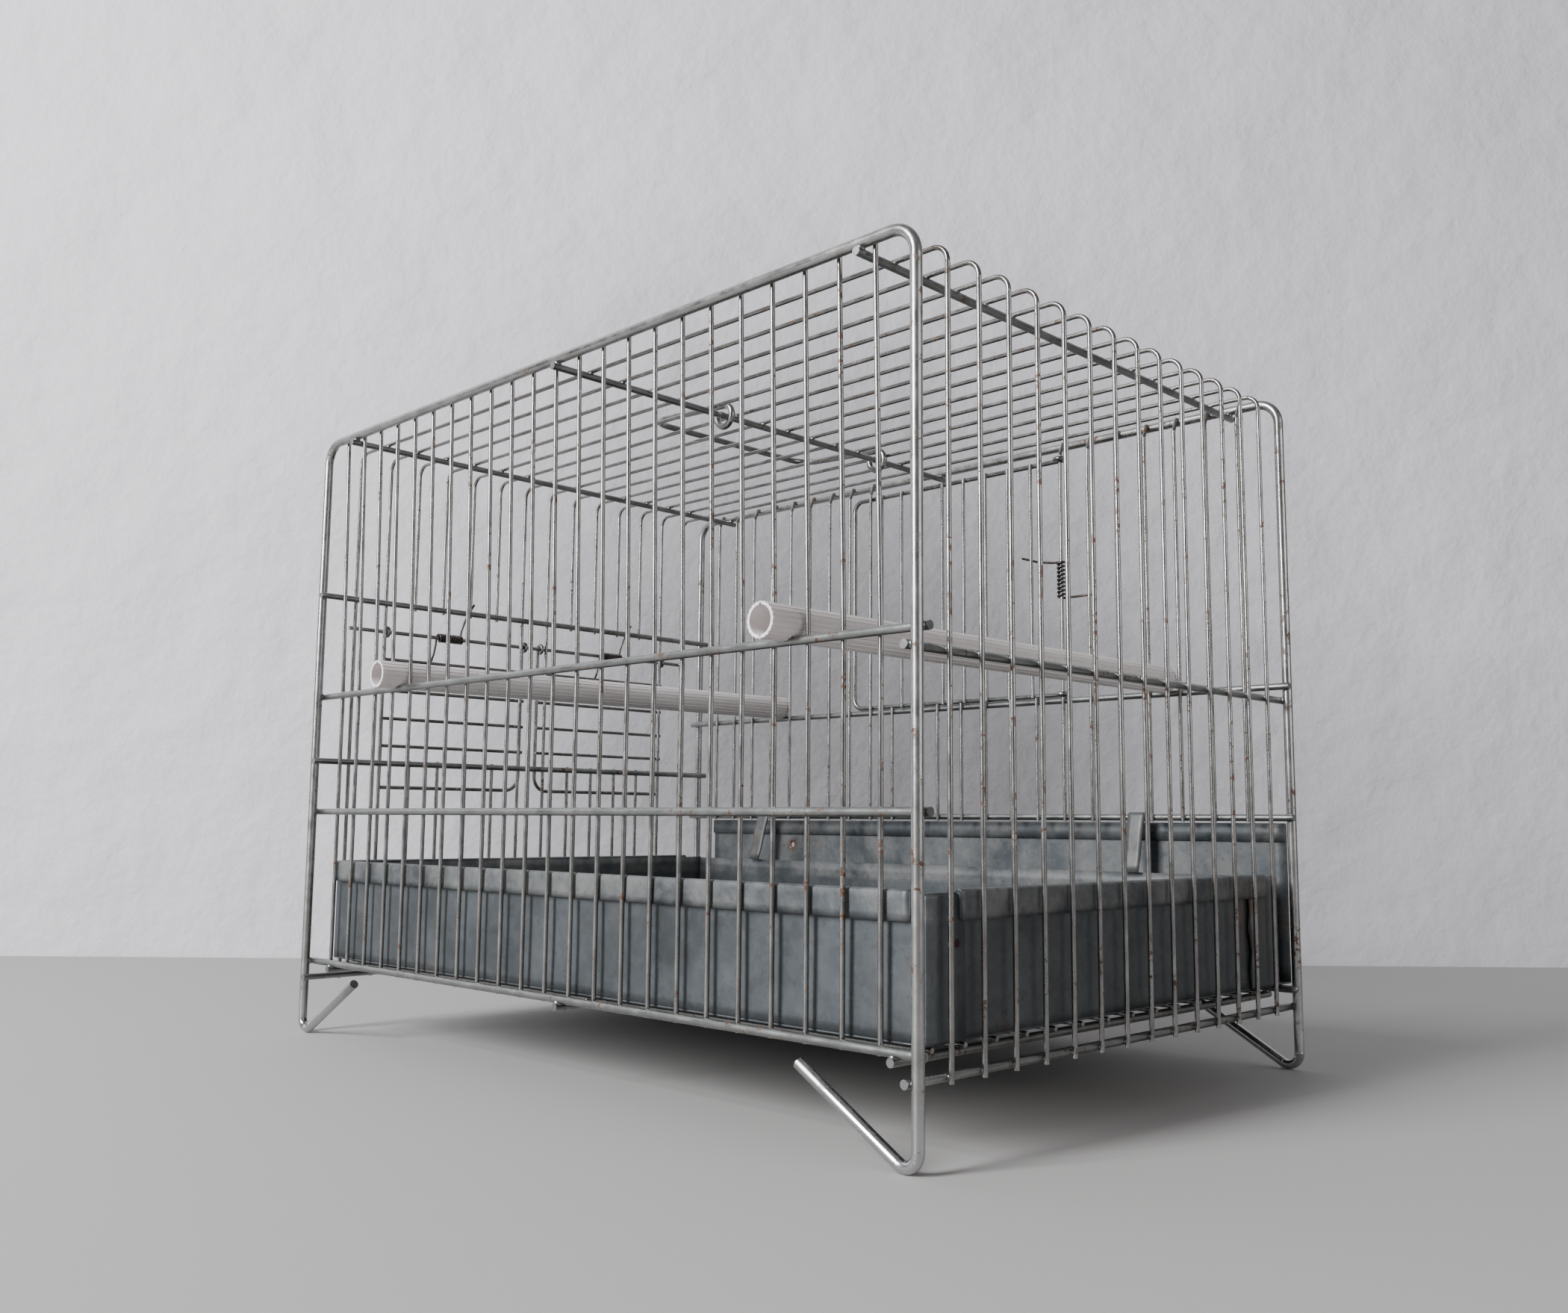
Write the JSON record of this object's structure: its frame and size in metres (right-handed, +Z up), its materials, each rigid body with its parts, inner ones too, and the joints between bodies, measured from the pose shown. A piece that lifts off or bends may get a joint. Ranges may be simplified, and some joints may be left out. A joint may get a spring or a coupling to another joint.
{
  "type": "wire bird cage",
  "caption": "Small welded wire cage on bent wire feet, with a spring door, feeder hatches, perches, a folding carry handle and a slide-out sheet tray.",
  "frame": {"origin": "on the floor, at the centre of the cage's footprint", "axes": "+Z up, -Y to the front (the door and the tray's front plate), +X to the side with the two feeder hatches"},
  "size_m": [0.3863, 0.2646, 0.2928],
  "materials": {
    "hoop": "dull galvanised, with brown specks",
    "rod": "dull galvanised",
    "thin_wire": "dull galvanised, lightly rusted",
    "bar_wire": "dull galvanised",
    "frame_wire": "dull galvanised",
    "handle_wire": "galvanised",
    "spring": "dull spring wire",
    "tray_sheet": "galvanised sheet with spangle, dented",
    "front_sheet": "galvanised sheet with spangle",
    "stop_sheet": "galvanised sheet",
    "perch": "fluted, off-white, slightly soiled"
  },
  "bodies": {
    "cage": {"back_hoop": "hoop", "front_hoop": "hoop", "roof_rods": "rod", "back_rails": "rod", "front_rails": "rod", "left_rails": "rod", "right_rails": "rod", "hoop_wires": "thin_wire", "back_wires": "thin_wire", "front_wires": "thin_wire", "floor_rods": "rod", "floor_wires": "thin_wire", "hatch_hinge_wire": "rod", "door_hinge_wire": "thin_wire", "door_spring": "spring", "rear_hatch_spring": "spring", "front_hatch_spring": "spring"},
    "door": {"door_frame": "frame_wire", "door_bars": "bar_wire"},
    "rear_hatch": {"rear_hatch_frame": "frame_wire", "rear_hatch_bars": "bar_wire"},
    "front_hatch": {"front_hatch_frame": "frame_wire", "front_hatch_bars": "bar_wire"},
    "handle": {"carry_handle": "handle_wire"},
    "tray": {"tray_pan": "tray_sheet", "tray_front": "front_sheet"},
    "left_stop": {"left_tray_stop": "stop_sheet"},
    "right_stop": {"right_tray_stop": "stop_sheet"},
    "left_perch_body": {"left_perch": "perch"},
    "right_perch_body": {"right_perch": "perch"}
  },
  "joints": [
    {"name": "door_hinge", "type": "hinge", "parent": "cage", "child": "door", "pos_m": [-0.08035, -0.1195, 0.222], "axis": [0, 0, -1], "range_deg": [0, 120], "deforming": ["door_spring"]},
    {"name": "rear_hatch_hinge", "type": "hinge", "parent": "cage", "child": "rear_hatch", "pos_m": [0.1906, 0.0472, 0.1966], "axis": [0, -1, 0], "range_deg": [0, 110], "deforming": ["rear_hatch_spring"]},
    {"name": "front_hatch_hinge", "type": "hinge", "parent": "cage", "child": "front_hatch", "pos_m": [0.1906, -0.0495, 0.1966], "axis": [0, -1, 0], "range_deg": [0, 110], "deforming": ["front_hatch_spring"]},
    {"name": "handle_swing", "type": "hinge", "parent": "cage", "child": "handle", "pos_m": [-0.0023, -0.0195, 0.2837], "axis": [0, -1, 0], "range_deg": [0, 165]},
    {"name": "tray_slide", "type": "slide", "parent": "cage", "child": "tray", "axis": [0, -1, 0], "range_m": [0, 0.2]},
    {"name": "left_stop_hinge", "type": "hinge", "parent": "cage", "child": "left_stop", "pos_m": [-0.1185, -0.1217, 0.1045], "axis": [1, 0, 0], "range_deg": [0, 100]},
    {"name": "right_stop_hinge", "type": "hinge", "parent": "cage", "child": "right_stop", "pos_m": [0.1262, -0.1217, 0.1045], "axis": [1, 0, 0], "range_deg": [0, 100]},
    {"name": "left_perch_lift", "type": "slide", "parent": "cage", "child": "left_perch_body", "axis": [0, 0, 1], "range_m": [0, 0.09]},
    {"name": "right_perch_lift", "type": "slide", "parent": "cage", "child": "right_perch_body", "axis": [0, 0, 1], "range_m": [0, 0.09]}
  ]
}
